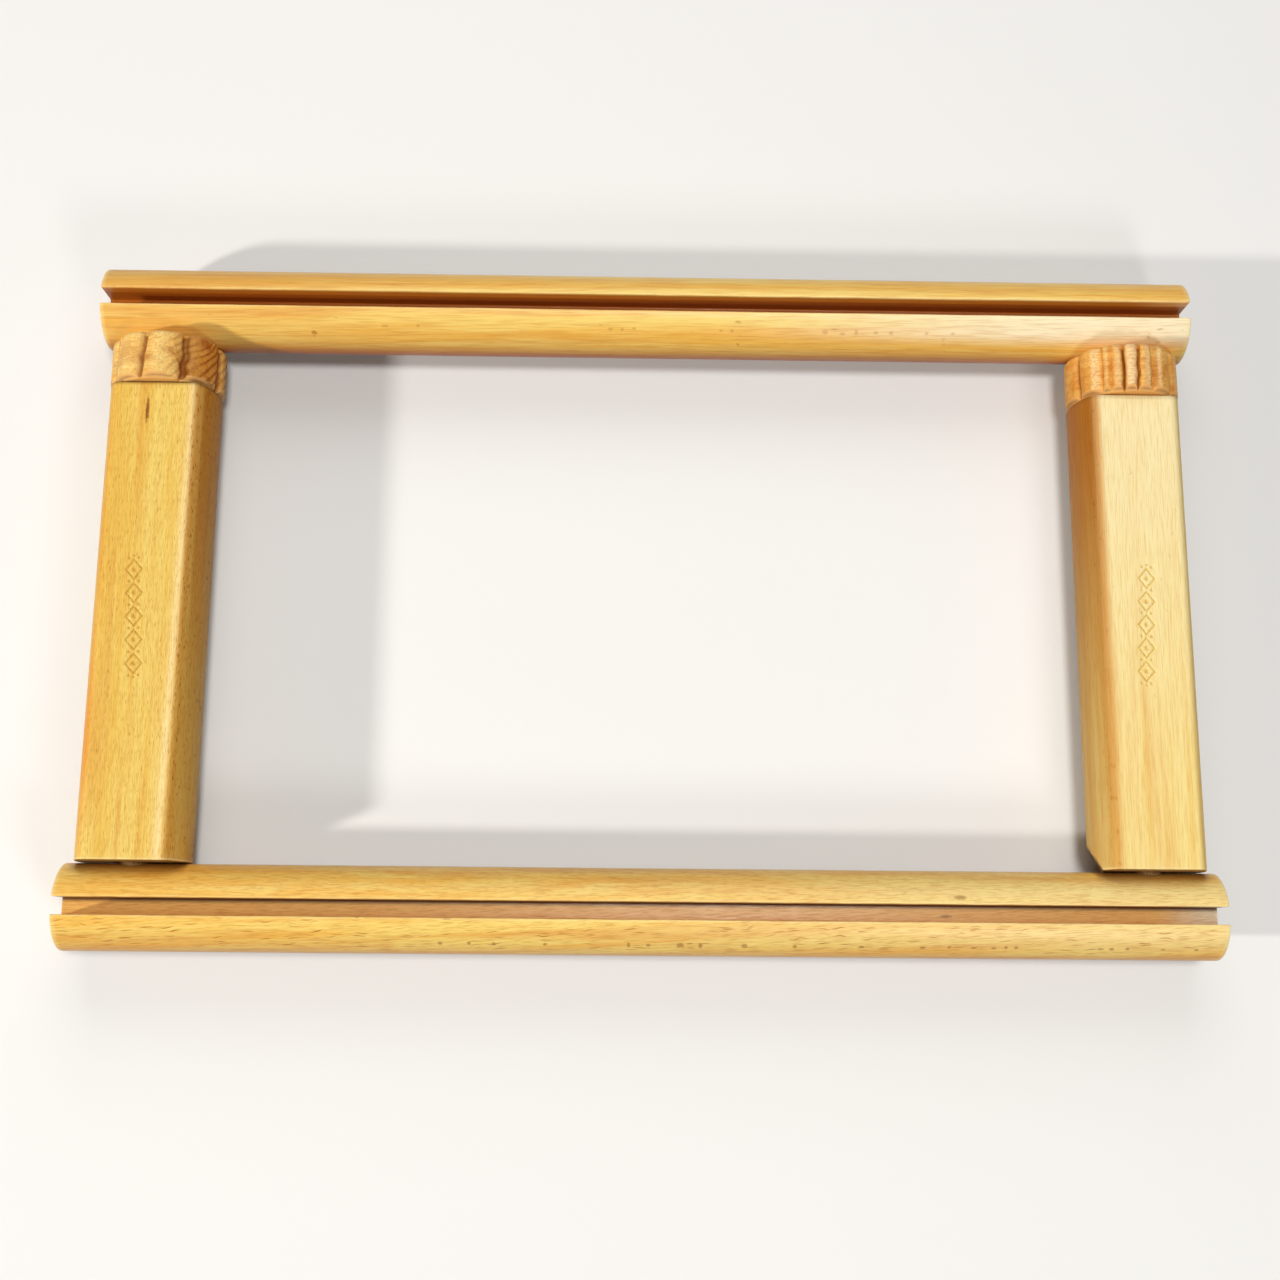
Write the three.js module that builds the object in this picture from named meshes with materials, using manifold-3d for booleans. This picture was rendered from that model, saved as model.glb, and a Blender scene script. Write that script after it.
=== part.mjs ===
// A wooden scroll frame for embroidery: two slotted round rails held apart by two arms.
// Each arm carries a wooden screw, and a scalloped knob on it pushes the top rail away
// to stretch the cloth. Millimetres, +Z up, the frame lying flat with its slots upwards.
import * as THREE from 'three';
import { mergeVertices } from 'three/addons/utils/BufferGeometryUtils.js';
import Module from 'manifold-3d';

const wasm = await Module();
wasm.setup();

// Rails
const railLength = 400;
const railRadius = 15;
const railEndEase = 0.5;
const slotWidth = 6;
const slotDepth = 12;

// Arms
const armLength = 171;
const armWidth = 39.2;
const armThickness = 31;
const armSideRadius = 27;
const armCornerRadius = 2.6;
const armEndEase = 0.4;
const armInset = 23;

// Slanting cut at the lower, inner, rear corner of the right arm
const cornerCutWidth = 9;
const cornerCutLength = 15;
const cornerCutDepth = 30;

// Knobs
const knobHeight = 18;
const knobCrestRadius = 20.5;
const knobLobes = 8;
const knobGrooveDepth = 1.3;
const knobTopRound = 2;
const knobFootChamfer = 1.2;
const leftKnobTurn = -11;
const rightKnobTurn = -18.5;

// Wooden screws
const threadRadius = 10;
const threadDepth = 1.8;
const threadPitch = 4;
const threadLength = 42;
const shankRadius = 9;
const boreRunOut = 3;

// Dowel pins
const pinRadius = 5;
const pinChamfer = 0.8;
const pinInArm = 16;
const pinInSpindle = 13;
const slotWeb = 1.2;

// Clearances
const seat = 0.3;
const pinFit = 0.2;
const threadFit = 0.25;

// Roundness of the turned shapes
const railSides = 48;
const lobeSteps = 8;
const roundSteps = 3;
const boreSides = 32;
const pinSides = 24;
const threadSides = 20;
const threadRows = 2;

// Places worked out from the sizes above, in a frame centred on the bottom rail
const cutMargin = 1;
const armAxisX = railLength / 2 - armInset;
const armBottomY = railRadius + seat;
const armTopY = armBottomY + armLength;
const knobBottomY = armTopY + seat;
const knobTopY = knobBottomY + knobHeight;
const topRailY = knobTopY + seat + railRadius;
const railHoleDepth = railRadius - slotWidth / 2 - slotWeb;
const pinInRail = railHoleDepth - seat;
const restHeight = Math.max(railRadius, armThickness / 2, knobCrestRadius);

const beech = new THREE.MeshStandardMaterial({ color: 0xe3b873, roughness: 0.45, metalness: 0 });
const paleBeech = new THREE.MeshStandardMaterial({ color: 0xebc88a, roughness: 0.5, metalness: 0 });
const knobBeech = new THREE.MeshStandardMaterial({ color: 0xd09a5c, roughness: 0.6, metalness: 0 });
const dowelBeech = new THREE.MeshStandardMaterial({ color: 0xdcb27a, roughness: 0.65, metalness: 0 });

// A closed geometry becomes a solid once its shared corners are merged.
function solidOf(geometry) {
  const bare = geometry.index ? geometry.toNonIndexed() : geometry.clone();
  bare.deleteAttribute('normal');
  bare.deleteAttribute('uv');
  const merged = mergeVertices(bare, 1e-4);
  return new wasm.Manifold(new wasm.Mesh({
    numProp: 3,
    vertProperties: new Float32Array(merged.attributes.position.array),
    triVerts: new Uint32Array(merged.index.array),
  }));
}

function meshOf(name, solid, material, x = 0, y = 0) {
  const { vertProperties, triVerts } = solid.getMesh();
  const geometry = new THREE.BufferGeometry();
  geometry.setAttribute('position', new THREE.BufferAttribute(new Float32Array(vertProperties), 3));
  geometry.setIndex(new THREE.BufferAttribute(new Uint32Array(triVerts), 1));
  geometry.computeVertexNormals();
  const mesh = new THREE.Mesh(geometry, material);
  mesh.name = name;
  mesh.position.set(x, y, 0);
  return mesh;
}

// A turned piece about the Y axis: pairs of radius and height, closed on the axis.
function turned(profile, sides) {
  const points = profile.map(([radius, height]) => new THREE.Vector2(radius, height));
  return solidOf(new THREE.LatheGeometry(points, sides));
}

function plug(radius, from, to, sides) {
  return turned([[0, from], [radius, from], [radius, to], [0, to]], sides);
}

// A prism with eased ends: the outline is carried along Z and drawn in by the ease at both ends.
function easedPrism(outline, length, ease) {
  const geometry = new THREE.ExtrudeGeometry(outline, {
    depth: length - 2 * ease,
    curveSegments: 1,
    bevelThickness: ease,
    bevelSize: ease,
    bevelOffset: -ease,
    bevelSegments: 1,
  });
  return geometry.translate(0, 0, ease);
}

// Rail section: a circle whose slot is cut from the front, drawn with the front at -x.
function railOutline() {
  const half = slotWidth / 2;
  const lipAngle = Math.asin(half / railRadius);
  const outline = new THREE.Shape();
  outline.moveTo(slotDepth - railRadius, half);
  for (let step = 0; step <= railSides; step += 1) {
    const angle = Math.PI - lipAngle - (step / railSides) * 2 * (Math.PI - lipAngle);
    outline.lineTo(railRadius * Math.cos(angle), railRadius * Math.sin(angle));
  }
  outline.lineTo(slotDepth - railRadius, -half);
  outline.closePath();
  return outline;
}

// A rail lies along X with its slot upwards and one blind hole for a pin near each end, on +Y.
function rail() {
  const bar = easedPrism(railOutline(), railLength, railEndEase);
  bar.rotateY(Math.PI / 2).translate(-railLength / 2, 0, 0);
  const holeFloor = railRadius - railHoleDepth;
  const hole = plug(pinRadius + pinFit, holeFloor, railRadius + cutMargin, pinSides);
  return solidOf(bar)
    .subtract(hole.translate([-armAxisX, 0, 0]))
    .subtract(hole.translate([armAxisX, 0, 0]));
}

// A point on a circular arc, as x and y.
function onArc(centreX, centreY, radius, angle) {
  return [centreX + radius * Math.cos(angle), centreY + radius * Math.sin(angle)];
}

// Arm section: flat front and back, sides bowed on a wide arc, corners rounded between them.
// One quarter is worked out: the corner circle touches the flat and lies inside the side arc.
function armOutline() {
  const halfWidth = armWidth / 2;
  const halfDepth = armThickness / 2;
  const sideCentre = halfWidth - armSideRadius;
  const cornerY = halfDepth - armCornerRadius;
  const reach = armSideRadius - armCornerRadius;
  const cornerX = sideCentre + Math.sqrt(reach * reach - cornerY * cornerY);
  const sideAngle = Math.atan2(cornerY, cornerX - sideCentre);
  const quarter = [];
  const sideSteps = 5;
  for (let step = 0; step < sideSteps; step += 1) {
    quarter.push(onArc(sideCentre, 0, armSideRadius, (step / sideSteps) * sideAngle));
  }
  const cornerSteps = 5;
  for (let step = 0; step <= cornerSteps; step += 1) {
    const angle = sideAngle + (step / cornerSteps) * (Math.PI / 2 - sideAngle);
    quarter.push(onArc(cornerX, cornerY, armCornerRadius, angle));
  }
  const upper = [...quarter, ...quarter.slice(1).reverse().map(([x, y]) => [-x, y])];
  const lower = upper.slice(1).reverse().map(([x, y]) => [x, -y]);
  const ring = [...upper, [-halfWidth, 0], ...lower];
  return new THREE.Shape(ring.map(([x, y]) => new THREE.Vector2(x, y)));
}

// The corner cut is a tetrahedron: three lengths along X, Y and Z from the arm's rear corner,
// with the corner itself pushed outwards by the margin and the slanting face left where it is.
function cornerCut() {
  const [width, length, depth] = [cornerCutWidth, cornerCutLength, cornerCutDepth];
  const grow = 1 + cutMargin * (1 / width + 1 / length + 1 / depth);
  const corner = [-armWidth / 2 - cutMargin, -cutMargin, -armThickness / 2 - cutMargin];
  const points = [
    corner,
    [corner[0] + width * grow, corner[1], corner[2]],
    [corner[0], corner[1] + length * grow, corner[2]],
    [corner[0], corner[1], corner[2] + depth * grow],
  ];
  const geometry = new THREE.BufferGeometry();
  geometry.setAttribute('position', new THREE.Float32BufferAttribute(points.flat(), 3));
  geometry.setIndex([0, 2, 1, 0, 1, 3, 0, 3, 2, 1, 2, 3]);
  return solidOf(geometry);
}

// The arm stands on the bottom rail: its lower end is at height 0 along Y here.
function arm(hasCornerCut) {
  const bar = easedPrism(armOutline(), armLength, armEndEase).rotateX(-Math.PI / 2);
  const boreFloor = armLength - threadLength - boreRunOut;
  let solid = solidOf(bar)
    .subtract(plug(threadRadius + threadFit, boreFloor, armLength + cutMargin, boreSides))
    .subtract(plug(pinRadius + pinFit, -cutMargin, pinInArm + seat, pinSides));
  if (hasCornerCut) solid = solid.subtract(cornerCut());
  return solid;
}

// Knob outline: equal lobes, each a circular arc between two grooves.
function knobOutline() {
  const halfLobe = Math.PI / knobLobes;
  const grooveRadius = knobCrestRadius - knobGrooveDepth;
  const halfChord = grooveRadius * Math.sin(halfLobe);
  const rise = knobCrestRadius - grooveRadius * Math.cos(halfLobe);
  const lobeRadius = (halfChord * halfChord + rise * rise) / (2 * rise);
  const lobeCentre = knobCrestRadius - lobeRadius;
  const halfSweep = Math.atan2(halfChord, knobCrestRadius - rise - lobeCentre);
  const points = [];
  for (let lobe = 0; lobe < knobLobes; lobe += 1) {
    const middle = (lobe + 0.5) * 2 * halfLobe;
    for (let step = 0; step < lobeSteps; step += 1) {
      const [x, y] = onArc(lobeCentre, 0, lobeRadius, halfSweep * (2 * step / lobeSteps - 1));
      points.push(new THREE.Vector2(x, y).rotateAround(new THREE.Vector2(), middle));
    }
  }
  return new THREE.Shape(points);
}

// The scalloped disc is trimmed by a turned shape, rounded at the top and chamfered at the foot.
function knob() {
  const disc = new THREE.ExtrudeGeometry(knobOutline(), { depth: knobHeight, bevelEnabled: false });
  const trim = [[0, 0], [knobCrestRadius - knobFootChamfer, 0], [knobCrestRadius, knobFootChamfer]];
  for (let step = 0; step <= roundSteps; step += 1) {
    const angle = (step / roundSteps) * Math.PI / 2;
    const centre = [knobCrestRadius - knobTopRound, knobHeight - knobTopRound];
    trim.push(onArc(centre[0], centre[1], knobTopRound, angle));
  }
  trim.push([0, knobHeight]);
  return solidOf(disc.rotateX(-Math.PI / 2))
    .intersect(turned(trim, knobLobes * lobeSteps))
    .subtract(plug(shankRadius + pinFit, -cutMargin, knobHeight + cutMargin, boreSides));
}

// A right-handed thread about Y: the radius falls and rises once in each pitch, and the whole
// grid climbs one pitch in a turn, so its last column meets its first one pitch higher up.
function threadedRod(length) {
  const turns = Math.ceil(length / threadPitch) + 2;
  const rows = turns * threadRows;
  const positions = [];
  for (let row = 0; row <= rows + threadRows; row += 1) {
    for (let side = 0; side < threadSides; side += 1) {
      const angle = (side / threadSides) * 2 * Math.PI;
      const wave = Math.abs(2 * ((row % threadRows) / threadRows) - 1);
      const radius = threadRadius - threadDepth * wave;
      const height = (row / threadRows + side / threadSides - 1.5) * threadPitch;
      positions.push(radius * Math.sin(angle), height, radius * Math.cos(angle));
    }
  }
  const corner = (row, side) => (side === threadSides
    ? (row + threadRows) * threadSides
    : row * threadSides + side);
  const footCentre = positions.length / 3;
  positions.push(0, -1.5 * threadPitch, 0);
  const headCentre = footCentre + 1;
  positions.push(0, (rows / threadRows - 0.5) * threadPitch, 0);
  const faces = [];
  for (let row = 0; row < rows; row += 1) {
    for (let side = 0; side < threadSides; side += 1) {
      const [a, b] = [corner(row, side), corner(row, side + 1)];
      const [c, d] = [corner(row + 1, side + 1), corner(row + 1, side)];
      faces.push(a, b, c, a, c, d);
    }
  }
  for (let side = 0; side < threadSides; side += 1) {
    faces.push(footCentre, corner(0, side + 1), corner(0, side));
    faces.push(headCentre, corner(rows, side), corner(rows, side + 1));
  }
  for (let row = 0; row < threadRows; row += 1) {
    faces.push(footCentre, corner(row, 0), corner(row + 1, 0));
    faces.push(headCentre, corner(rows + row + 1, 0), corner(rows + row, 0));
  }
  const geometry = new THREE.BufferGeometry();
  geometry.setAttribute('position', new THREE.Float32BufferAttribute(positions, 3));
  geometry.setIndex(faces);
  return solidOf(geometry);
}

// Spindle, with height 0 at the knob's foot: thread below, glued shank inside the knob.
// The trim is wider than the thread all along, and cuts it only at its tip and its shoulder.
function spindle() {
  const trim = turned([
    [0, -threadLength],
    [threadRadius - threadDepth, -threadLength],
    [threadRadius + cutMargin, threadDepth + cutMargin - threadLength],
    [threadRadius + cutMargin, 0],
    [0, 0],
  ], threadSides);
  const thread = threadedRod(threadLength).translate([0, -threadLength, 0]).intersect(trim);
  const shank = plug(shankRadius, -threadPitch / 2, knobHeight - seat, threadSides);
  const pinHole = plug(pinRadius + pinFit, knobHeight - pinInSpindle - seat, knobHeight, pinSides);
  return thread.add(shank).subtract(pinHole);
}

function pin(length) {
  return turned([
    [0, 0],
    [pinRadius - pinChamfer, 0],
    [pinRadius, pinChamfer],
    [pinRadius, length - pinChamfer],
    [pinRadius - pinChamfer, length],
    [0, length],
  ], pinSides);
}

function sideGroup(name, x, knobTurn, hasCornerCut) {
  const side = new THREE.Group();
  side.position.set(x, 0, 0);
  side.add(meshOf(`${name}_arm`, arm(hasCornerCut), paleBeech, 0, armBottomY));
  side.add(meshOf(`${name}_foot_pin`, pin(pinInRail + seat + pinInArm), dowelBeech, 0, railRadius - pinInRail));

  const turning = new THREE.Group();
  turning.position.set(0, knobBottomY, 0);
  turning.rotation.y = THREE.MathUtils.degToRad(knobTurn);
  turning.add(meshOf(`${name}_knob`, knob(), knobBeech));
  turning.add(meshOf(`${name}_spindle`, spindle(), knobBeech));
  const pivotLength = pinInSpindle + seat + pinInRail;
  turning.add(meshOf(`${name}_pivot_pin`, pin(pivotLength), dowelBeech, 0, knobHeight - pinInSpindle));
  side.add(turning);
  return side;
}

const frame = new THREE.Group();
frame.add(meshOf('bottom_rail', rail(), beech));
const topRail = meshOf('top_rail', rail(), beech, 0, topRailY);
topRail.rotation.z = Math.PI;
frame.add(topRail);
frame.add(sideGroup('left', -armAxisX, leftKnobTurn, false));
frame.add(sideGroup('right', armAxisX, rightKnobTurn, true));
frame.position.set(0, -topRailY / 2, restHeight);

export default frame;
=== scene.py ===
import math

import bmesh
import bpy
import numpy as np
from mathutils import Matrix, Vector


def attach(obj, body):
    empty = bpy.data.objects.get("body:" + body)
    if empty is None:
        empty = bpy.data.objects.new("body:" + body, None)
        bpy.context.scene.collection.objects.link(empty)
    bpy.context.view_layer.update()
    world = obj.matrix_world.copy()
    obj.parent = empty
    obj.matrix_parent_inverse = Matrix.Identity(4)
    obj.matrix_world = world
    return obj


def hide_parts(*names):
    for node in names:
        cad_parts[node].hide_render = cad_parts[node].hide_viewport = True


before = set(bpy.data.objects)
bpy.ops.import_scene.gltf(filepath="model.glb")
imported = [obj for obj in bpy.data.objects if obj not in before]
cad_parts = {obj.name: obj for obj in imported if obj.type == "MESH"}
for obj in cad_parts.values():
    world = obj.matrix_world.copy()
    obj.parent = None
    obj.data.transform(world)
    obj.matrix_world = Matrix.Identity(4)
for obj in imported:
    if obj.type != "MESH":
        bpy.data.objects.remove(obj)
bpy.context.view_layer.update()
scene = bpy.context.scene
print("frame loaded:", len(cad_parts), "CAD pieces")

# Camera: a little below the middle of the frame, looking almost straight down on it
viewpoint = dict(place=(-0.00916, -0.12851, 0.58039), turn=(11.604, -0.873, 0.488), lens=44.67, film=36.0)


def placeCamera(v):
    data = bpy.data.cameras.new("camera")
    data.lens, data.sensor_width = v["lens"], v["film"]
    data.clip_start, data.clip_end = 0.01, 20.0
    camera = bpy.data.objects.new("camera", data)
    camera.location = v["place"]
    camera.rotation_euler = [math.radians(angle) for angle in v["turn"]]
    scene.collection.objects.link(camera)
    scene.camera = camera


placeCamera(viewpoint)
scene.view_settings.view_transform = "Standard"
print("camera placed")

# Places of the pieces in the part's frame, in millimetres
layout = dict(armX=177.0, axisZ=20.5, railY=109.95, armFootY=-94.65, knobFootY=76.65)


# A centre at a height along y: side is -1 for the left arm's line, 1 for the right, 0 between.
def centreOf(side, y):
    return np.array([side * layout["armX"], y, layout["axisZ"]])


# Mesh tools that the pieces share

# A smooth random line: random heights at even steps, joined by eased curves, from -1 to 1.
def wander(position, step, seed):
    count = 1024
    heights = np.random.default_rng(seed).uniform(-1, 1, count)
    whole = np.floor(position / step).astype(int)
    part = position / step - whole
    part = part * part * (3 - 2 * part)
    return heights[whole % count] * (1 - part) + heights[(whole + 1) % count] * part


# Numbers or arrays set side by side in a new last axis, such as x, y and z.
def stacked(*parts):
    return np.stack(np.broadcast_arrays(*parts), axis=-1)


# Parts of a skin one below the other, each stretched over all the columns.
def rowsOf(columns, *parts):
    return np.concatenate([np.asarray(part) + np.zeros(columns) for part in parts])


# Angles of the given number of columns, once round.
def fullTurn(columns):
    return np.linspace(0, 2 * np.pi, columns + 1)[:-1]


# A closed skin over a grid of points, in millimetres, as rows by columns by x, y, z.
# Columns close on themselves. Rows close on themselves too ("ring"), end in a flat face at
# both ends ("ends"), or end in a point in the middle of the first and the last row ("poles").
def skin(name, grid, closing):
    rows, columns = grid.shape[:2]
    points = grid.reshape(-1, 3)
    index = np.arange(rows * columns).reshape(rows, columns)
    corner = stacked(index, np.roll(index, -1, axis=1))
    above = np.roll(corner, -1, axis=0)[:, :, ::-1]
    quads = np.concatenate([corner, above], axis=-1)
    if closing != "ring":
        quads = quads[:-1]
    faces = quads.reshape(-1, 4).tolist()
    if closing == "ends":
        faces += [index[0, ::-1].tolist(), index[-1].tolist()]
    if closing == "poles":
        low = len(points)
        points = np.vstack([points, grid[0].mean(axis=0), grid[-1].mean(axis=0)])
        faces += stacked(low, np.roll(index[0], -1), index[0]).tolist()
        faces += stacked(low + 1, index[-1], np.roll(index[-1], -1)).tolist()
    mesh = bpy.data.meshes.new(name)
    mesh.from_pydata((points * 0.001).tolist(), [], faces)
    piece = bpy.data.objects.new(name, mesh)
    scene.collection.objects.link(piece)
    return faceOutwards(piece)


# A skin whose volume comes out negative is inside out, so it is turned.
def faceOutwards(piece):
    work = bmesh.new()
    work.from_mesh(piece.data)
    if work.calc_volume(signed=True) < 0:
        bmesh.ops.reverse_faces(work, faces=work.faces)
    work.to_mesh(piece.data)
    work.free()
    return piece


# Smooth shading everywhere but across edges sharper than the given angle.
def smooth(piece, sharpAngle=35):
    mesh = piece.data
    mesh.polygons.foreach_set("use_smooth", np.ones(len(mesh.polygons), dtype=bool))
    mesh.set_sharp_from_angle(angle=math.radians(sharpAngle))
    mesh.update()


# Keeps the edges along some rows of a skin crisp, such as where a chamfer starts.
def crispRows(piece, rows, columns):
    mesh = piece.data
    ends = np.zeros(len(mesh.edges) * 2, dtype=int)
    mesh.edges.foreach_get("vertices", ends)
    row = (ends // columns).reshape(-1, 2)
    along = (row[:, 0] == row[:, 1]) & np.isin(row[:, 0], rows)
    sharp = np.zeros(len(mesh.edges), dtype=bool)
    mesh.attributes["sharp_edge"].data.foreach_get("value", sharp)
    mesh.attributes["sharp_edge"].data.foreach_set("value", sharp | along)


# Takes the cutter's shape out of a piece and keeps the result as the piece's own mesh.
def cutAway(piece, cutter):
    tool = piece.modifiers.new("cut", "BOOLEAN")
    tool.operation, tool.solver, tool.object = "DIFFERENCE", "EXACT", cutter
    graph = bpy.context.evaluated_depsgraph_get()
    mesh = bpy.data.meshes.new_from_object(piece.evaluated_get(graph))
    piece.modifiers.clear()
    piece.data = mesh
    mesh.name = piece.name
    bpy.data.objects.remove(cutter)


# Points of a piece in millimetres, measured from a centre given in the part's frame.
def pointsFrom(piece, centre):
    points = np.zeros(len(piece.data.vertices) * 3)
    piece.data.vertices.foreach_get("co", points)
    return points.reshape(-1, 3) * 1000 - np.array(centre)


# Keeps masks, one value from 0 to 1 for each point, as attributes that the piece's finish reads.
def keepMasks(piece, **masks):
    for name, values in masks.items():
        made = piece.data.attributes.new(name, "FLOAT", "POINT")
        made.data.foreach_set("value", np.clip(values, 0, 1).astype(np.float32))


# 0 below the first limit, 1 above the second, eased between them.
def rise(value, low, high):
    share = np.clip((value - low) / (high - low), 0, 1)
    return share * share * (3 - 2 * share)


# A soft band: 1 at the centre, falling off to both sides along a bell curve.
def softBand(value, centre, width):
    return np.exp(-(((value - centre) / width) ** 2))


# Outward direction at each point of a closed outline: across the line through its neighbours.
def outwardOf(outline):
    along = np.roll(outline, -1, axis=0) - np.roll(outline, 1, axis=0)
    across = stacked(along[:, 1], -along[:, 0])
    across /= np.linalg.norm(across, axis=1, keepdims=True)
    return across if (across * outline).sum() > 0 else -across


# Rows for an eased end: how far along from the end each row is, and how far it is drawn in.
# The first row lies on the end face, a little inside the easing, so the face shades flat.
def easedRows(ease, steps=5, inside=0.04):
    turn = np.linspace(0, np.pi / 2, steps)
    along = np.concatenate([[0], ease * (1 - np.cos(turn))])
    drawnIn = np.concatenate([[ease + inside], ease * (1 - np.sin(turn))])
    return along, drawnIn


# A turned skin about the Y axis: angle 0 points to +z and grows towards +x.
def turnedGrid(angle, radius, height):
    return stacked(radius * np.sin(angle), height, radius * np.cos(angle))


# Shader tools that the finishes share

# A colour from its values as seen on screen, 0 to 255.
def colour(red, green, blue):
    level = np.array([red, green, blue]) / 255
    linear = np.where(level <= 0.04045, level / 12.92, ((level + 0.055) / 1.055) ** 2.4)
    return (*linear.tolist(), 1.0)


# Adds a node, sets its options, and wires or sets its inputs.
def addNode(tree, kind, inputs=None, **options):
    made = tree.nodes.new(kind)
    for key, value in options.items():
        setattr(made, key, value)
    for key, value in (inputs or {}).items():
        if isinstance(value, bpy.types.NodeSocket):
            tree.links.new(value, made.inputs[key])
        else:
            made.inputs[key].default_value = value
    return made


def maths(tree, operation, a, b=0.0, c=0.0):
    return addNode(tree, "ShaderNodeMath", {0: a, 1: b, 2: c}, operation=operation).outputs[0]


def product(tree, a, b):
    return maths(tree, "MULTIPLY", a, b)


def vectorMaths(tree, operation, a, b):
    return addNode(tree, "ShaderNodeVectorMath", {0: a, 1: b}, operation=operation).outputs[0]


def lengthOf(tree, vector):
    return addNode(tree, "ShaderNodeVectorMath", {0: vector}, operation="LENGTH").outputs["Value"]


def stretched(tree, vector, scale):
    return vectorMaths(tree, "MULTIPLY", vector, scale)


def shifted(tree, vector, step):
    return vectorMaths(tree, "ADD", vector, step)


def combined(tree, x, y, z):
    return addNode(tree, "ShaderNodeCombineXYZ", {0: x, 1: y, 2: z}).outputs[0]


def noiseOf(tree, vector, detail=2.0, roughness=0.5):
    inputs = {"Vector": vector, "Scale": 1.0, "Detail": detail, "Roughness": roughness}
    return addNode(tree, "ShaderNodeTexNoise", inputs).outputs[0]


def eased(tree, value, low, high, start=0.0, end=1.0):
    inputs = {"Value": value, "From Min": low, "From Max": high, "To Min": start, "To Max": end}
    return addNode(tree, "ShaderNodeMapRange", inputs, interpolation_type="SMOOTHSTEP").outputs[0]


def blended(tree, share, a, b, mode="MIX"):
    return addNode(tree, "ShaderNodeMix", {0: share, 6: a, 7: b}, data_type="RGBA", blend_type=mode).outputs[2]


def attribute(tree, name):
    return addNode(tree, "ShaderNodeAttribute", attribute_name=name).outputs["Fac"]


socketKinds = dict(number="NodeSocketFloat", vector="NodeSocketVector", colour="NodeSocketColor")


# A new shader group with one output. The build function gets the group's tree and its inputs
# by name, and gives back the output. Inputs are named by kind, and whoever uses the group
# sets them all.
def shaderGroup(name, build, output, **inputs):
    tree = bpy.data.node_groups.new(name, "ShaderNodeTree")
    for kind, keys in inputs.items():
        for key in keys:
            tree.interface.new_socket(key, in_out="INPUT", socket_type=socketKinds[kind])
    tree.interface.new_socket("Result", in_out="OUTPUT", socket_type=socketKinds[output])
    result = build(tree, tree.nodes.new("NodeGroupInput").outputs)
    tree.links.new(result, tree.nodes.new("NodeGroupOutput").inputs["Result"])
    return tree


def useGroup(tree, group, inputs):
    return addNode(tree, "ShaderNodeGroup", inputs, node_tree=group).outputs["Result"]


# Beech tone, in wood axes (x along the grain, y along the rings, z outwards through them):
# long bands between golden and pale, narrower ruddy streaks, and thin darker ring lines.
def buildTone(tree, given):
    vector = given["Vector"]
    wide = noiseOf(tree, stretched(tree, vector, given["Bands"]), 3.0, 0.55)
    aside, further = shifted(tree, vector, (0.3, 0.1, 0.2)), shifted(tree, vector, (0.7, 0.5, 0.4))
    narrow = noiseOf(tree, stretched(tree, aside, (22, 620, 380)), 3.0, 0.6)
    streak = noiseOf(tree, stretched(tree, further, (8, 230, 140)), 2.0, 0.5)
    share = maths(tree, "ADD", product(tree, wide, 0.65), product(tree, narrow, 0.35))
    base = blended(tree, eased(tree, share, 0.4, 0.6), given["Golden"], given["Pale"])
    ruddy = product(tree, eased(tree, streak, 0.5, 0.72), given["Streaks"])
    base = blended(tree, ruddy, base, given["Ruddy"])
    drift = product(tree, noiseOf(tree, stretched(tree, vector, (16, 60, 60)), 2.0), 0.006)
    depth = addNode(tree, "ShaderNodeSeparateXYZ", {0: vector}).outputs[2]
    rings = maths(tree, "DIVIDE", maths(tree, "ADD", depth, drift), given["Ring Gap"])
    line = eased(tree, maths(tree, "PINGPONG", rings, 0.5), given["Ring Width"], 0.0)
    return blended(tree, product(tree, line, given["Rings"]), base, given["Ruddy"])


beechTone = shaderGroup(
    "beechTone", buildTone, "colour", vector=["Vector", "Bands"], colour=["Pale", "Golden", "Ruddy"],
    number=["Streaks", "Rings", "Ring Gap", "Ring Width"],
)


# Ray flecks: one spindle in each cell of a stretched cell pattern, long along the grain, thin
# along the rings and deep through them. Only a share of the cells carries one.
def buildFlecks(tree, given):
    bend = product(tree, noiseOf(tree, stretched(tree, given["Vector"], (200, 200, 200)), 1.0), 0.0022)
    bent = shifted(tree, given["Vector"], combined(tree, 0.0, bend, 0.0))
    cells = vectorMaths(tree, "DIVIDE", bent, combined(tree, given["Length"], given["Width"], given["Depth"]))
    found = addNode(tree, "ShaderNodeTexVoronoi", {"Vector": cells, "Scale": 1.0, "Randomness": 0.95}, feature="F1")
    spindle = eased(tree, found.outputs["Distance"], 0.4, 0.16)
    chance = addNode(tree, "ShaderNodeSeparateColor", {0: found.outputs["Color"]}).outputs
    chosen = eased(tree, maths(tree, "SUBTRACT", given["Share"], chance[0]), 0.0, 0.12)
    strong = eased(tree, chance[1], 0.0, 1.0, 0.45, 1.0)
    return product(tree, product(tree, spindle, chosen), strong)


rayFlecks = shaderGroup(
    "rayFlecks", buildFlecks, "number", vector=["Vector"], number=["Length", "Width", "Depth", "Share"],
)


# Fibre lines: fine noise drawn out along the grain.
def buildFibres(tree, given):
    size = combined(tree, given["Length"], given["Width"], given["Width"])
    cells = vectorMaths(tree, "DIVIDE", given["Vector"], size)
    return noiseOf(tree, cells, 2.5, 0.6)


fibreLines = shaderGroup("fibreLines", buildFibres, "number", vector=["Vector"], number=["Length", "Width"])


# Rubbed edges and painted edge highlights: along the edges, in uneven patches, the colour goes towards pale bare wood;
# this stands partly for thinner finish and partly for highlights painted along the edges.
def buildRubbed(tree, given):
    patch = noiseOf(tree, stretched(tree, given["Vector"], (220, 220, 220)), 3.0, 0.6)
    share = product(tree, given["Edge"], eased(tree, patch, 0.3, 0.6, 0.35, 1.0))
    share = product(tree, share, given["Strength"])
    return blended(tree, share, given["Color"], given["Bare Wood"])


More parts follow.
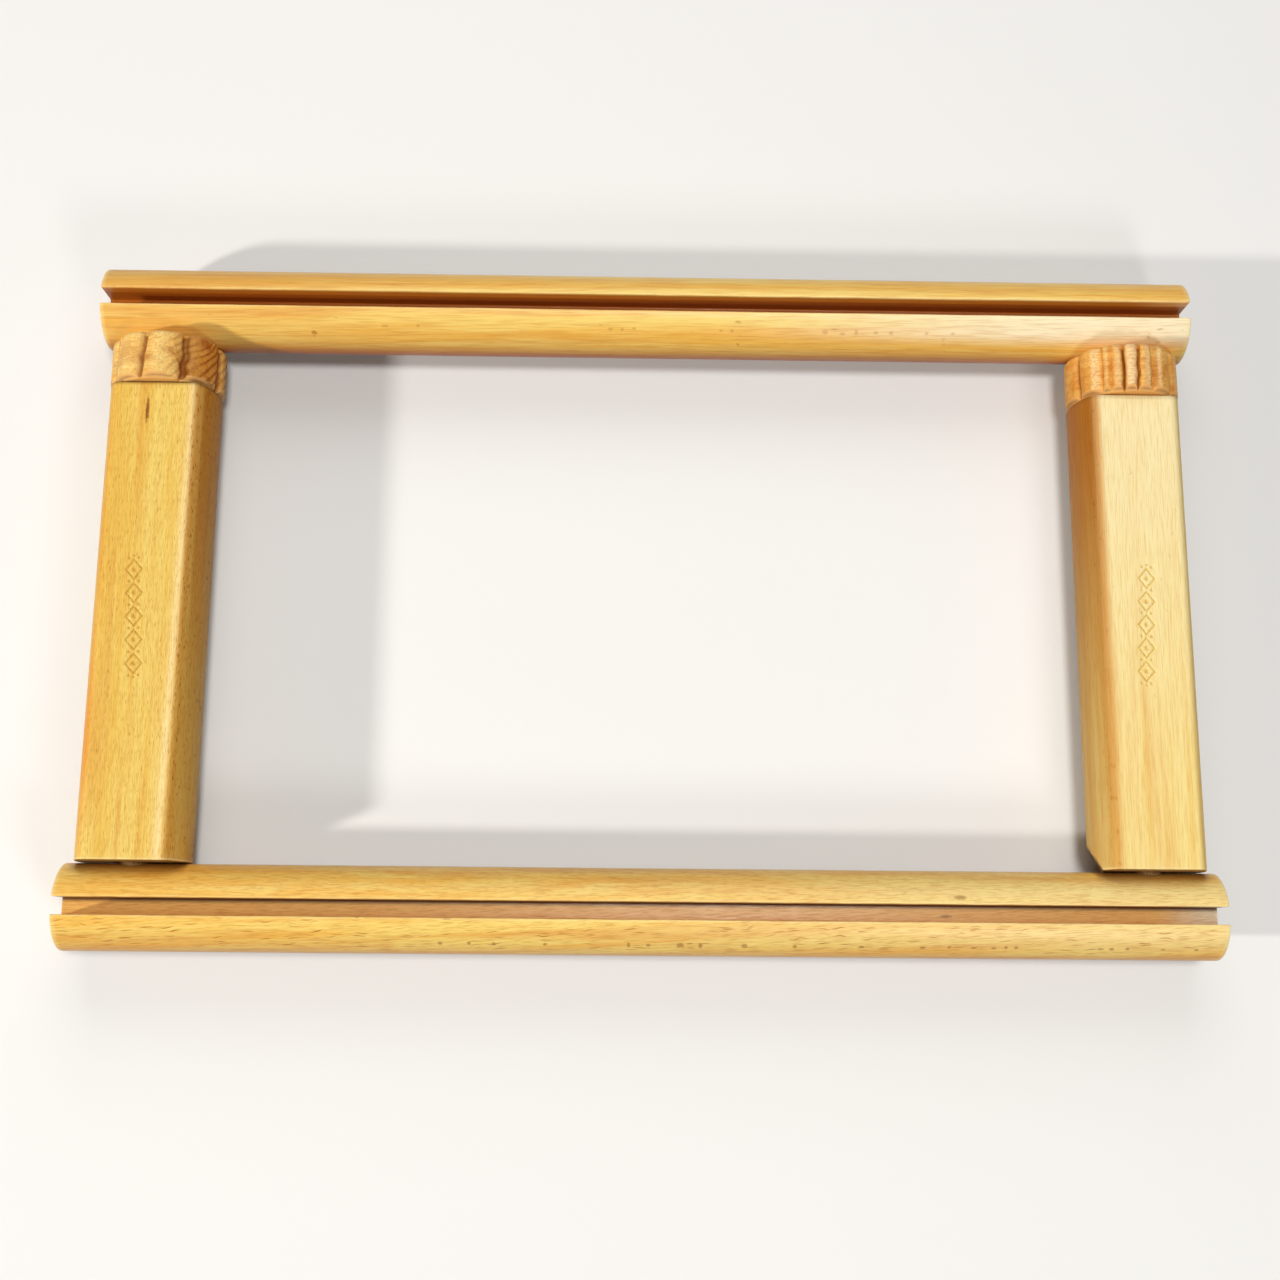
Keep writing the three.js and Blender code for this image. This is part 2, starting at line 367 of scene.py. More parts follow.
rubbedEdges = shaderGroup(
    "rubbedEdges", buildRubbed, "colour", vector=["Vector"], colour=["Color", "Bare Wood"],
    number=["Edge", "Strength"],
)


# Small knots and scars: 1 inside any of the given ellipsoids, each a centre and half sizes in
# metres in the part's frame, with ragged edges.
def scarMask(tree, place, scars):
    nearest = None
    for centre, size in scars:
        away = vectorMaths(tree, "SUBTRACT", place, centre)
        reach = lengthOf(tree, vectorMaths(tree, "DIVIDE", away, size))
        nearest = reach if nearest is None else maths(tree, "MINIMUM", nearest, reach)
    ragged = product(tree, noiseOf(tree, stretched(tree, place, (900, 900, 900)), 2.0), 0.9)
    return eased(tree, maths(tree, "ADD", nearest, ragged), 1.55, 0.85)


# The turn that carries the grain to x and the rays, which run out through the rings, to z.
def woodAxes(grain, rays):
    along = Vector(grain).normalized()
    across = Vector(rays).cross(along).normalized()
    return Matrix((along, across, along.cross(across))).to_euler("XYZ")


print("shader groups built")


# A beech finish. The recipe's layers, in order: tone, paler parts, side tints, flecks, fibres,
# darker places, scars, rubbed edges. Some paler parts are painted light (highlights, sheen and lit
# slot floors), some side tints and darker places are painted shade, and the rubbed edges are partly
# painted edge highlights. Masks come from the piece's own attributes. Where the mask "dense" is 1,
# the flecks are closer and at their full strength, and elsewhere they are faint.
# A recipe's sizes are in metres and its colours as seen on screen.
def beechFinish(name, r):
    material = bpy.data.materials.new(name)
    material.use_nodes = True
    tree = material.node_tree
    shader = tree.nodes["Principled BSDF"]
    place = addNode(tree, "ShaderNodeTexCoord").outputs["Object"]
    mapping = {"Vector": place, "Rotation": r["axes"], "Location": r["shift"]}
    wood = addNode(tree, "ShaderNodeMapping", mapping).outputs[0]

    def masked(mask, share):
        return product(tree, attribute(tree, mask), share)

    tone = useGroup(tree, beechTone, {
        "Vector": wood, "Pale": colour(*r["pale"]), "Golden": colour(*r["golden"]), "Ruddy": colour(*r["ruddy"]),
        "Streaks": r["streaks"], "Rings": masked("ringed", r["rings"]) if r.get("ringMask") else r["rings"],
        "Ring Gap": r["ringGap"], "Ring Width": r["ringWidth"], "Bands": r["bands"],
    })
    for mask, tint, share in r.get("paler", []):
        tone = blended(tree, masked(mask, share), tone, colour(*tint))
    for mask, tint, share in r.get("tints", []):
        tone = blended(tree, masked(mask, share), tone, colour(*tint), "MULTIPLY")
    dense, faint = attribute(tree, "dense"), r["fleckStrength"] * r.get("faint", 1)
    flecks = useGroup(tree, rayFlecks, {
        "Vector": wood, "Length": r["fleckLength"], "Width": r["fleckWidth"], "Depth": r["fleckDepth"],
        "Share": maths(tree, "MULTIPLY_ADD", dense, r["denseShare"], r["fleckShare"]),
    })
    strength = maths(tree, "MULTIPLY_ADD", dense, r["fleckStrength"] - faint, faint)
    tone = blended(tree, product(tree, flecks, strength), tone, colour(*r["fleckTint"]), "MULTIPLY")
    fibreSize = {"Vector": wood, "Length": r["fibreLength"], "Width": r["fibreWidth"]}
    fibres = useGroup(tree, fibreLines, fibreSize)
    lines = eased(tree, fibres, 0.44, 0.66)
    tone = blended(tree, product(tree, lines, r["fibreStrength"]), tone, colour(*r["fibreTint"]), "MULTIPLY")
    for mask, tint, share in r.get("darks", []):
        tone = blended(tree, masked(mask, share), tone, colour(*tint))
    if "scars" in r:
        spots = product(tree, scarMask(tree, place, r["scars"]), r["scarStrength"])
        tone = blended(tree, spots, tone, colour(*r["scarTone"]))
    tone = useGroup(tree, rubbedEdges, {
        "Vector": place, "Color": tone, "Bare Wood": colour(*r["bareWood"]),
        "Edge": attribute(tree, "edge"), "Strength": r["edgeStrength"],
    })
    height = maths(tree, "SUBTRACT", product(tree, fibres, -0.7), product(tree, flecks, 0.5))
    bump = addNode(tree, "ShaderNodeBump", {"Height": height, "Distance": r["relief"], "Strength": 0.8})
    rough = eased(tree, fibres, 0.2, 0.8, r["roughness"] - 0.05, r["roughness"] + 0.08)
    tree.links.new(tone, shader.inputs["Base Color"])
    tree.links.new(rough, shader.inputs["Roughness"])
    tree.links.new(bump.outputs[0], shader.inputs["Normal"])
    shader.inputs["Specular IOR Level"].default_value = r["shine"]
    return material


# Puts a finished piece on its CAD body in place of its CAD node.
def settle(piece, node, body, material):
    piece.data.materials.clear()
    piece.data.materials.append(material)
    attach(piece, body)
    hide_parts(node)
    print("made", piece.name, len(piece.data.polygons), "faces")


# Rails, in millimetres
railMake = dict(
    length=400.0, radius=14.998, slotWidth=6.0, slotDepth=12.0, endEase=0.45, lipRound=0.5,
    floorRound=0.45, holeRadius=5.2, holeDepth=10.8, rows=260, sideSteps=74, lipWander=0.06,
)


# Half of the rail's section as y and z: from the middle of the slot's floor over its small
# corner, up the wall, round the lip, and down the outer circle to the underside.
def railSection(r):
    half, radius, lip, fillet = r["slotWidth"] / 2, r["radius"], r["lipRound"], r["floorRound"]
    floorZ = radius - r["slotDepth"]
    lipZ = math.sqrt((radius - lip) ** 2 - (half + lip) ** 2)
    lipAngle = math.atan2(half + lip, lipZ)
    quarter = np.linspace(0, np.pi / 2, 5)
    overLip = np.linspace(-np.pi / 2, lipAngle, 8)
    around = np.linspace(lipAngle, np.pi, r["sideSteps"])[1:]
    pieces = [
        stacked(np.linspace(0, half - fillet, 5)[:-1], floorZ),
        stacked(half - fillet + fillet * np.sin(quarter), floorZ + fillet - fillet * np.cos(quarter)),
        stacked(half, np.linspace(floorZ + fillet, lipZ, 11)[1:-1]),
        stacked(half + lip + lip * np.sin(overLip), lipZ + lip * np.cos(overLip)),
        stacked(radius * np.sin(around), radius * np.cos(around)),
    ]
    right = np.concatenate(pieces)
    left = right[1:-1][::-1] * [-1, 1]
    return np.concatenate([right, left])


# The rail is its section carried along x, drawn in at both ends. The lips of the sawn slot
# wander by a few hundredths of a millimetre.
def railGrid(r, seed):
    section = railSection(r)
    outward = outwardOf(section)
    along, drawnIn = easedRows(r["endEase"])
    end = r["length"] / 2
    middle = np.linspace(-end + r["endEase"], end - r["endEase"], r["rows"])[1:-1]
    x = np.concatenate([along - end, middle, (end - along)[::-1]])
    inset = np.concatenate([drawnIn, 0 * middle, drawnIn[::-1]])
    flat = section[None] - outward[None] * inset[:, None, None]
    y, z = flat[..., 0], flat[..., 1]
    nearLip = rise(z, 8, 14.5) * (np.abs(y) < 4.2)
    sway = np.where(y > 0, wander(x, 7, seed)[:, None], wander(x, 9, seed + 1)[:, None])
    y = y + np.sign(y) * nearLip * r["lipWander"] * sway
    return stacked(x[:, None], y, z)


# A rail with the two blind holes for its pins drilled on one side, holeSide. Here up, out and
# toHole say which way a point faces, as a share of its distance from the bar's axis.
# paleReach gives where along x the painted sheen starts and reaches full strength.
def makeRail(name, r, seed, centreY, holeSide, paleReach):
    centre = centreOf(0, centreY)
    rail = skin(name, railGrid(r, seed) + centre, "ends")
    floor, mouth, end = r["radius"] - r["holeDepth"], r["radius"], r["length"] / 2
    radius = np.array([0.5, 1, 1, 1, 1, 1])[:, None] * r["holeRadius"]
    height = np.array([floor, floor, 8.0, 12.0, mouth + 1, mouth + 2])[:, None] * holeSide
    for x in (-layout["armX"], layout["armX"]):
        hole = skin("hole", turnedGrid(fullTurn(48), radius, height) + centre + [x, 0, 0], "poles")
        cutAway(rail, hole)
    x, y, z = pointsFrom(rail, centre).T
    away = np.hypot(y, z)
    up, out, toHole = y / away, z / away, y * holeSide / away
    wall = r["slotWidth"] / 2
    # lip and rim make the pale edge lines along the slot's lips and round the rail's ends: partly rubbed wear, partly
    # painted highlight
    lip = 0.45 * softBand(np.abs(y), wall + 0.2, 0.5) * rise(z, 13.8, 14.4)
    rim = rise(np.abs(x), end - 1.1, end - 0.1) * rise(away, 14.51, 14.9)
    onEnd = np.abs(x) > end - 0.001
    inSlot = (np.abs(y) < wall + 0.15) * (z > 2.5) * (1 - rise(z, 13.2, 14.4)) * ~onEnd
    besideArm = 1 - rise(np.abs(np.abs(x) - layout["armX"]), 18.6, 20.5)
    # dull keeps the painted sheen off the top rail's back
    dull = rise(-toHole, 0.0, 0.3) * (holeSide < 0)
    keepMasks(
        # slot tints the whole slot: on the bottom rail paler, as painted light on its floor; on the top rail darker,
        # as painted shade on its wall
        rail, endFace=onEnd, edge=np.maximum(lip, rim), slot=inSlot,
        # painted shade deep in the slot
        slotDeep=inSlot * (1 - rise(z, 9.6, 10.8)),
        # a painted pool of light at the slot's right end
        slotEnd=inSlot * rise(x, 176, 197),
        # painted shade in the slot's upper corner
        slotCorner=inSlot * rise(y, 1.5, 2.4) * (1 - rise(z, 9, 13)),
        # underside: painted shade, darker and browner towards the rail's underside
        underside=rise(-z, -9, 5) * (0.3 + 0.7 * rise(-up, 0.1, 0.7)) * ~onEnd,
        # a painted sheen that pales the rail's front towards its right end
        paleEnd=rise(x, *paleReach) * rise(out, 0.45, 0.85) * (1 - dull) * ~onEnd,
        # painted shade: the top rail darker towards its left end
        dimEnd=rise(-x, 20, 170),
        # painted shade on the bottom rail's top beside and under each arm's foot
        underArm=besideArm * rise(toHole, 0.7, 0.97) * (z > 0) * (holeSide > 0) * ~onEnd,
        dense=rise(-up, 0.12, 0.45) * rise(out, 0.3, 0.55) * (np.abs(y) > wall + 0.1) * ~onEnd,
    )
    smooth(rail)
    return rail


# Small brown scars in a row along the rail's lower front, at an angle from straight up.
# Each has its place along the rail, its step up, and how wide and tall it is, in millimetres.
def scarRow(centreY, angle, spots):
    lean, radius = math.radians(angle), railMake["radius"]
    y, z = centreY + radius * math.sin(lean), layout["axisZ"] + radius * math.cos(lean)
    places = [(x * 0.001, (y + up) * 0.001, z * 0.001) for x, up, wide, tall in spots]
    sizes = [(wide * 0.0015, tall * 0.0014, 0.002) for x, up, wide, tall in spots]
    return list(zip(places, sizes))


railCommon = dict(
    bands=(5, 95, 60), ringWidth=0.16,
    pale=(252, 218, 120), golden=(249, 192, 84), ruddy=(228, 150, 58),
    streaks=0.5, rings=0.22, ringGap=0.0034,
    fleckLength=0.0042, fleckWidth=0.0006, fleckDepth=0.003, fleckTint=(176, 116, 52), fleckStrength=0.9,
    fibreLength=0.0045, fibreWidth=0.00042, fibreTint=(212, 168, 108), fibreStrength=0.7,
    scarTone=(158, 98, 30), scarStrength=0.8,
    bareWood=(255, 232, 168), edgeStrength=0.8, relief=0.00006, roughness=0.34, shine=0.3,
)
bottomScars = scarRow(-layout["railY"], -50, [
    (-68.8, 0, 0.7, 0.5), (-59, 0.2, 0.6, 0.5), (-50.5, 0, 0.5, 0.5), (-33.2, 0, 0.6, 0.4), (-4.7, 0, 0.5, 0.9),
    (2, 0, 0.6, 0.5), (12.9, 0, 1.1, 0.9), (16.0, 0.7, 1.1, 0.25), (16.5, -0.8, 1.3, 0.2), (19.7, 0, 0.5, 1.0),
    (34.6, 0, 0.9, 0.8), (51.9, 0, 0.6, 0.6), (74.6, 0, 0.9, 0.4), (95.6, 0, 0.9, 0.4), (104.7, 0.2, 0.6, 0.4),
    (113, 0, 0.9, 0.3), (120, 0, 0.8, 0.4), (124, 0.3, 0.5, 0.5), (127.5, 0.2, 0.6, 0.4), (156.6, 0, 0.9, 0.3),
    (160.3, 0, 0.8, 0.4), (165.7, 0.2, 0.6, 0.5), (178, 0, 0.8, 0.3), (189.4, 0, 0.6, 0.4),
])
bottomFinish = beechFinish("bottomRailBeech", dict(
    railCommon, axes=woodAxes((1, 0.05, 0.05), (0, -0.79, 0.62)), shift=(0.11, 0.02, 0.05),
    # the underside tint is painted shade towards the rail's underside
    tints=[("underside", (208, 142, 76), 0.9), ("endFace", (238, 216, 184), 1.0)],
    scarStrength=0.65, fleckShare=0.3, denseShare=0.3, faint=0.18, fibreStrength=0.42, fibreLength=0.007,
    fleckLength=0.0078, fleckWidth=0.0006, fleckTint=(190, 130, 60),
    # the rail's paler front towards its right end is a painted sheen
    # the slot tone here is painted light on the slot's floor, and its right end a painted pool of light
    paler=[("paleEnd", (253, 230, 160), 0.65), ("slot", (250, 198, 108), 1.0), ("slotEnd", (255, 240, 208), 0.9)],
    # painted shade in the slot's upper corner
    # painted shade on the rail under each arm's foot
    darks=[("slotCorner", (84, 46, 20), 0.9), ("underArm", (132, 76, 30), 0.75)],
    scars=bottomScars + [
        ((0.108, -0.1046, 0.0345), (0.0026, 0.0010, 0.002)), ((0.105, -0.1107, 0.0235), (0.0024, 0.0008, 0.002)),
        ((-0.0665, -0.1132, 0.0352), (0.0021, 0.0006, 0.0012)), ((-0.0965, -0.1131, 0.0352), (0.0012, 0.0005, 0.0012)),
    ],
))
topScars = scarRow(layout["railY"], -39, [
    (-96.2, 0, 1.0, 0.4), (-84.1, 0.2, 0.6, 0.4), (-13.7, 0, 0.8, 0.4), (-9.3, 0, 0.6, 0.5), (-4.9, 0.3, 0.6, 0.4),
    (26.9, 0, 0.7, 0.4), (31, 0, 0.6, 0.5), (65.4, 0, 0.9, 0.7), (68.6, 0.9, 1.2, 0.3), (71.7, -0.5, 1.0, 0.4),
    (76.8, 0, 0.6, 0.8), (84.1, 0, 0.8, 0.4), (89.6, 0, 0.7, 0.5), (102.8, 0, 0.7, 0.4), (112.4, 0, 0.7, 0.4),
])
topFinish = beechFinish("topRailBeech", dict(
    railCommon, axes=woodAxes((1, 0.02, 0), (0, 0.6, 0.8)), shift=(0.41, 0.07, 0.09),
    # painted shade: darker towards the rail's left end
    # the underside tint is painted shade towards the rail's underside
    tints=[("underside", (180, 104, 30), 1.0), ("dimEnd", (247, 238, 234), 1.0), ("endFace", (238, 216, 184), 1.0)],
    # the rail's paler front towards its right end is a painted sheen
    # the slot tone here is painted shade on the slot's wall, and its right end a painted pool of light
    paler=[("paleEnd", (255, 243, 206), 0.9), ("slot", (204, 128, 40), 1.0), ("slotEnd", (250, 206, 140), 0.5)],
    # painted shade deep in the slot
    darks=[("slotDeep", (168, 88, 14), 0.85)],
    bands=(1.8, 130, 80), fibreLength=0.013, fibreWidth=0.0005,
    fleckShare=0.02, denseShare=0.06, fibreStrength=0.32, scarStrength=0.32, scars=topScars,
))
bottomRail = makeRail("bottom_rail_bar", railMake, 21, -layout["railY"], 1, (-80, 170))
settle(bottomRail, "bottom_rail", "stand_side", bottomFinish)
topRail = makeRail("top_rail_bar", railMake, 31, layout["railY"], -1, (10, 165))
settle(topRail, "top_rail", "sliding_rail", topFinish)

# Wooden screws, in millimetres and degrees: the thread that the spindles and the arms' bores share
threadMake = dict(crest=10.0, depth=1.8, pitch=4.0, length=42.0, shank=9.0, shankTop=17.7, socket=5.2, fit=0.25)
knobTurns = {-1: -11.0, 1: -18.5}


# Radius of the thread at an angle and a height above the knob's foot: the ridge climbs one
# pitch in a turn to the right, with a narrow flat on its crest and a rounded root.
def threadRadius(t, angle, height, turn):
    phase = height / t["pitch"] - (angle - math.radians(turn)) / (2 * np.pi)
    away = np.abs(2 * (phase - np.floor(phase)) - 1)
    flank = np.clip((1 - away) * 1.22 - 0.06, 0, 1)
    return t["crest"] - t["depth"] + t["depth"] * (flank ** 1.15)


# Arms, in millimetres
armMake = dict(
    length=171.0, width=39.2, thickness=31.0, sideRadius=27.0, cornerRadius=2.6, ease=0.4,
    pinHole=5.2, pinDepth=16.3, bore=10.25, boreFloor=126.0, mouth=0.5, seat=0.3,
)


# Quarter of the arm's section as x and z, from the middle of the front to the middle of the
# side: the flat, the corner circle that touches it, and the wide arc of the side.
def armQuarter(a, flatPoints):
    halfWidth, halfDepth = a["width"] / 2, a["thickness"] / 2
    sideCentre = halfWidth - a["sideRadius"]
    cornerZ = halfDepth - a["cornerRadius"]
    reach = a["sideRadius"] - a["cornerRadius"]
    cornerX = sideCentre + math.sqrt(reach ** 2 - cornerZ ** 2)
    sideAngle = math.atan2(cornerZ, cornerX - sideCentre)
    corner = np.linspace(np.pi / 2, sideAngle, 9)[1:]
    side = np.linspace(sideAngle, 0, 11)[1:]
    flat = np.append(flatPoints[flatPoints < cornerX - 0.3], cornerX)
    return np.concatenate([
        stacked(flat, halfDepth),
        stacked(cornerX + a["cornerRadius"] * np.cos(corner), cornerZ + a["cornerRadius"] * np.sin(corner)),
        stacked(sideCentre + a["sideRadius"] * np.cos(side), a["sideRadius"] * np.sin(side)),
    ])


# The arm's whole section, with the front flat's points close together where it is carved.
def armSection(a):
    fine = np.concatenate([np.arange(0, 5.6, 0.25), np.arange(6.0, 16.0, 0.9)])
    coarse = np.arange(0, 16.0, 1.1)
    front, back = armQuarter(a, fine), armQuarter(a, coarse)
    right = np.concatenate([front, back[:-1][::-1] * [1, -1]])
    left = right[1:-1][::-1] * [-1, 1]
    return np.concatenate([right, left])


# Carved border on the front of an arm: a chain of lozenges with a dot in each, and a pair of
# dots between them. Gives how deep the cut is, from 0 to 1, at x and height on the front.
def borderCut(b, x, height):
    startX, startY = b["start"]
    run, climb = b["end"][0] - startX, b["end"][1] - startY
    slant, total = math.atan2(run, climb), math.hypot(run, climb)
    fromStart = stacked(x - startX, height - startY)
    along = fromStart @ np.array([math.sin(slant), math.cos(slant)])
    across = fromStart @ np.array([math.cos(slant), -math.sin(slant)])
    cell = total / b["count"]
    local = (along / cell - np.floor(along / cell) - 0.5) * cell
    long, wide = b["lozenge"]
    line = np.abs(np.abs(local) / long + np.abs(across) / wide - 1) * long * wide / math.hypot(long, wide)
    dot = np.maximum(np.hypot(local, across) - b["dot"], 0)
    pair = np.maximum(np.hypot(np.abs(local) - cell / 2, np.abs(across) - b["pairGap"]) - b["dot"] * 0.4, 0)
    nearest = np.minimum(np.minimum(line, dot), pair)
    inside = (along > -0.9) & (along < total + 0.9)
    return rise(-nearest, -b["stroke"], 0) * inside


# The arm is one skin: up inside the pin hole, out over the lower end, up the outside, in over
# the upper end and down the threaded bore to its floor.
def armGrid(a, border, turn):
    section = armSection(a)
    outward = outwardOf(section)
    angle = np.arctan2(section[:, 0], section[:, 1])
    length = a["length"]

    def circles(radius, height):
        return turnedGrid(angle, np.asarray(radius, float), np.asarray(height, float))

    def outlines(inset, height):
        flat = section[None] - outward[None] * inset[:, None, None]
        return stacked(flat[..., 0], height[:, None], flat[..., 1])

    def between(first, last, steps):
        share = (np.arange(1, steps) / steps)[:, None, None]
        return first[None] * (1 - share) + last[None] * share

    hole, depth = a["pinHole"], a["pinDepth"]
    inner = circles([[hole * 0.5], [hole - 0.3], [hole]], [[depth], [depth], [depth - 0.3]])
    wall = circles(np.full((7, 1), hole), np.linspace(depth - 1, 0.5, 7)[:, None])
    foot = circles([[hole + 0.5]], [[0.0]])
    along, drawnIn = easedRows(a["ease"])
    low = outlines(drawnIn, along)
    heights = np.concatenate([
        np.arange(a["ease"] + 0.6, border["start"][1] - 1.5, 1.5),
        np.arange(border["start"][1] - 1.5, border["end"][1] + 1.5, 0.25),
        np.arange(border["end"][1] + 2.5, length - a["ease"] - 0.5, 1.5),
    ])
    side = outlines(0 * heights, heights)
    frontness = (side[..., 2] > a["thickness"] / 2 - 0.01)
    cut = borderCut(border, side[..., 0], side[..., 1]) * frontness
    side[..., 2] -= cut * border["depth"]
    high = outlines(drawnIn[::-1], length - along[::-1])
    boreHeights = np.arange(length - 0.9, a["boreFloor"], -0.45)
    boreHeights = np.concatenate([[length, length - a["mouth"]], boreHeights])[:, None]
    fromKnob = boreHeights - length - a["seat"]
    boreRadius = threadRadius(threadMake, angle[None], fromKnob, turn) + threadMake["fit"]
    mouth = a["bore"] + a["mouth"] - (length - boreHeights)
    bore = circles(np.maximum(boreRadius, np.where(mouth > a["bore"] - 2, mouth, 0)), boreHeights)
    root = threadMake["crest"] - threadMake["depth"]
    floor = circles([[root], [4.0]], [[a["boreFloor"]], [a["boreFloor"]]])
    return np.concatenate([
        inner, wall, foot, between(foot[0], low[0], 7), low, side, high,
        between(high[-1], bore[0], 7), bore, floor,
    ])


# Slanting cut at the lower, inner, rear corner: everything beyond one plane comes off, and a
# single flat face closes the cut. The plane meets the three edges at the given lengths.
def cutCorner(piece, a, reach, centre):
    corner = np.array([-a["width"] / 2, 0, -a["thickness"] / 2])
    slope = 1 / np.array(reach)
    point = (centre + corner + [reach[0], 0, 0]) * 0.001
    work = bmesh.new()
    work.from_mesh(piece.data)
    cut = bmesh.ops.bisect_plane(
        work, geom=work.verts[:] + work.edges[:] + work.faces[:], dist=1e-7,
        plane_co=point.tolist(), plane_no=(-slope).tolist(), clear_outer=True,
    )
    edges = [e for e in cut["geom_cut"] if isinstance(e, bmesh.types.BMEdge)]
    bmesh.ops.contextual_create(work, geom=edges)
    bmesh.ops.recalc_face_normals(work, faces=work.faces)
    work.to_mesh(piece.data)
    work.free()


# Each arm has its own paler places and darker sides: the inner side is painted shade, darker
# towards the top; on the left arm a pale streak runs up beside the flat's inner edge as a painted
# highlight, and the right arm's front grows paler towards its top.
def makeArm(name, a, side, border, cornerReach=None):
    centre = centreOf(side, layout["armFootY"])
    arm = skin(name, armGrid(a, border, knobTurns[side]) + centre, "poles")
    if cornerReach:
        cutCorner(arm, a, cornerReach, centre)
    x, y, z = pointsFrom(arm, centre).T
    inward, upward = -x * side, rise(y, 0, a["length"])
    front = z > a["thickness"] / 2 - 1.2
    hidden = np.hypot(x, z) < 11.2
    if side < 0:
        # the left arm's pale streak is a painted highlight
        streak = x - 0.012 * y
        pale = (0.35 + 0.65 * softBand(streak, 11.8, 1.2)) * softBand(streak, 11.8, 2.6) * (z > 10)
        innerRise, outerRise, outerShare = (15.6, 17.4), (12.4, 14.8), 0.2 + 0.8 * softBand(y, 42, 24)
    else:
        pale = upward * front
        innerRise, outerRise, outerShare = (12.8, 16.4), (13.6, 17.0), 1
    keepMasks(
        arm, edge=rise(-y, -1.2, -0.3) * rise(y, 0.1, 0.3) * ~hidden,
        # the foot's end face: darker as end grain and as painted shade of the gap under the arm
        footEnd=rise(-y, -0.2, -0.05),
        seam=rise(y, a["length"] - 0.8, a["length"] - 0.1) * ~hidden,
        # palePart: on the left arm a painted highlight, on the right arm paler wood towards the top
        palePart=pale, dense=softBand(inward, 15.2, 1.7) * (z > 8),
        carved=borderCut(border, x, y) * front,
        # painted shade on the inner side, stronger towards the top
        innerSide=rise(inward, *innerRise) * (0.35 + 0.65 * upward),
        cornerStrip=softBand(inward, 14.2, 1.5) * (z > 0),
        outerSide=rise(-inward, *outerRise) * outerShare,
    )
    if cornerReach:
        corner = stacked(x + a["width"] / 2, y, z + a["thickness"] / 2)
        # the slanting cut face is darkened as painted shade
        keepMasks(arm, cornerCut=np.abs((corner / cornerReach).sum(axis=1) - 1) < 1e-3)
    smooth(arm)
    return arm


alongArm = woodAxes((0, 1, 0), (0, 0, 1))
armCommon = dict(
    bands=(5, 110, 70), ringWidth=0.16,
    streaks=0.4, rings=0.1, ringGap=0.0041,
    fleckLength=0.0028, fleckWidth=0.00038, fleckDepth=0.004, denseShare=0.4,
    fibreLength=0.004, fibreWidth=0.0003,
    bareWood=(252, 230, 170), edgeStrength=0.6, relief=0.00005, roughness=0.5, shine=0.25,
)
leftArmFinish = beechFinish("leftArmBeech", dict(
    armCommon, axes=alongArm, shift=(0.05, 0.31, 0.02),
    pale=(241, 210, 112), golden=(235, 191, 86), ruddy=(224, 160, 66),
    # the left arm's pale part is a painted highlight streak
    paler=[("palePart", (255, 232, 168), 0.85), ("outerSide", (232, 150, 46), 0.75)],
    # the inner side's tint is painted shade
    tints=[("innerSide", (206, 166, 102), 1.0), ("dense", (224, 184, 116), 0.7)],
    fleckShare=0.6, fleckTint=(194, 144, 72), fleckStrength=1.0, faint=0.55,
    fibreTint=(220, 186, 120), fibreStrength=0.5,
    # the foot's end is darker end grain with painted shade of the gap beneath
    darks=[("carved", (206, 156, 52), 0.7), ("seam", (92, 48, 14), 0.85), ("footEnd", (112, 66, 28), 0.8)],
    scars=[((-0.1793, 0.066, 0.036), (0.0008, 0.0062, 0.003))], scarTone=(140, 76, 12), scarStrength=0.95,
))
rightArmFinish = beechFinish("rightArmBeech", dict(
    armCommon, axes=woodAxes((0, 1, 0), (0.85, 0, 0.5)), shift=(0.25, 0.11, 0.07),
    pale=(250, 226, 148), golden=(244, 208, 116), ruddy=(232, 174, 88),
    paler=[
        ("palePart", (254, 238, 188), 0.8), ("outerSide", (248, 212, 116), 0.6),
        ("cornerStrip", (216, 150, 50), 0.75),
    ],
    # the inner side's tint is painted shade
    tints=[("innerSide", (182, 133, 64), 1.0)],
    fibreLength=0.009, fleckShare=0.08, fleckTint=(206, 166, 104), fleckStrength=0.5,
    fibreTint=(228, 200, 142), fibreStrength=0.45, bands=(2.5, 150, 150),
    darks=[
        ("carved", (222, 182, 78), 0.7), ("seam", (120, 72, 24), 0.5),
        # painted shade on the slanting cut face
        # the foot's end is darker end grain with painted shade of the gap beneath
        ("cornerCut", (150, 88, 34), 0.6), ("footEnd", (120, 72, 30), 0.8),
    ],
))
borderMake = dict(count=5, lozenge=(3.5, 2.8), dot=0.45, pairGap=1.7, stroke=0.5, depth=0.42)
leftBorder = dict(borderMake, start=(-0.3, 63.6), end=(-3.0, 105.6))
rightBorder = dict(borderMake, start=(-1.3, 64.7), end=(1.0, 106.6))
leftArm = makeArm("left_arm_post", armMake, -1, leftBorder)
settle(leftArm, "left_arm", "stand_side", leftArmFinish)
rightArm = makeArm("right_arm_post", armMake, 1, rightBorder, cornerReach=(9.0, 15.0, 30.0))
settle(rightArm, "right_arm", "stand_side", rightArmFinish)

# Knobs, in millimetres and degrees from the front towards +x. A highlight place is a painted
# highlight on a lit rib or lobe, and has its first and last angle and its strength.
knobMake = dict(
    height=18.0, crest=20.5, chamfer=2.1, topRound=2.0, bore=9.2, mouth=0.35, columns=480, scallop=1.2,
    facetDepth=0.22, facetCount=60, chatter=(0.02, 0.03), inset=0.05, grainWay={-1: 58, 1: 90},
    palePlaces={
        -1: [(-50, -17, 0.9), (-5, 14, 1), (36, 48, 1), (83, 92, 0.7)],
        1: [
            (-48, -38, 0.6), (-33, -29, 0.3), (-23, -16, 0.5), (-11, 0, 1), (8, 14, 0.7), (24, 29, 0.65),
            (54, 66, 0.4),
        ],
    },
)


